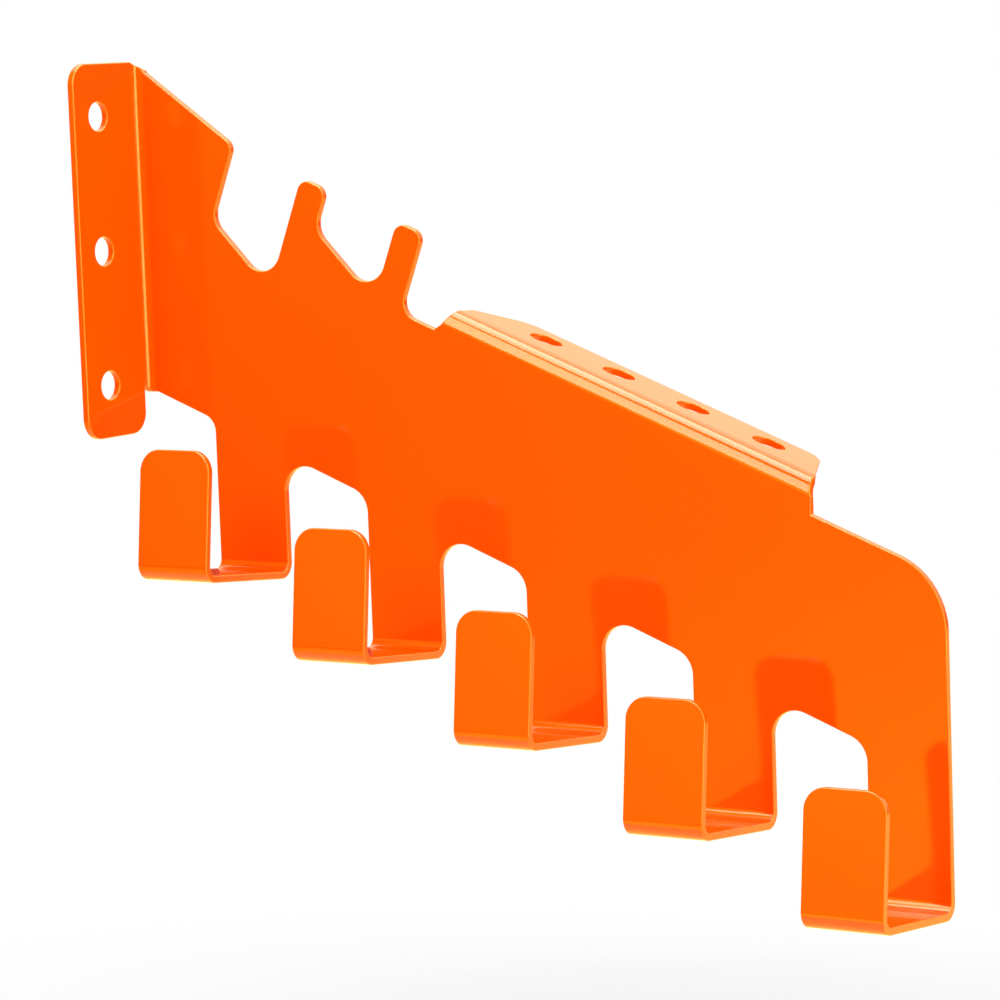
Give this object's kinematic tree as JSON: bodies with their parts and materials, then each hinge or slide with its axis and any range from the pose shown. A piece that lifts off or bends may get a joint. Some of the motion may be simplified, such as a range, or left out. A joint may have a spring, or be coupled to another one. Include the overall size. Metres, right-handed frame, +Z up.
{
  "type": "chainsaw storage rack",
  "caption": "Wall rack folded from one powder-coated steel sheet, with a comb on top, a flange of round tool holes and a row of hooks that step down away from the wall.",
  "frame": {"origin": "centre of the middle screw hole, on the wall face", "axes": "+X away from the wall along the plate, +Y from the hooks' side to the back, +Z up"},
  "size_m": [0.2467, 0.0619, 0.2207],
  "materials": {
    "powder_coat": "gloss powder coat"
  },
  "bodies": {
    "root": {"plate": "powder_coat", "wall_flange": "powder_coat", "tool_flange": "powder_coat", "hook_1": "powder_coat", "hook_2": "powder_coat", "hook_3": "powder_coat", "hook_4": "powder_coat", "hook_5": "powder_coat"}
  },
  "joints": []
}
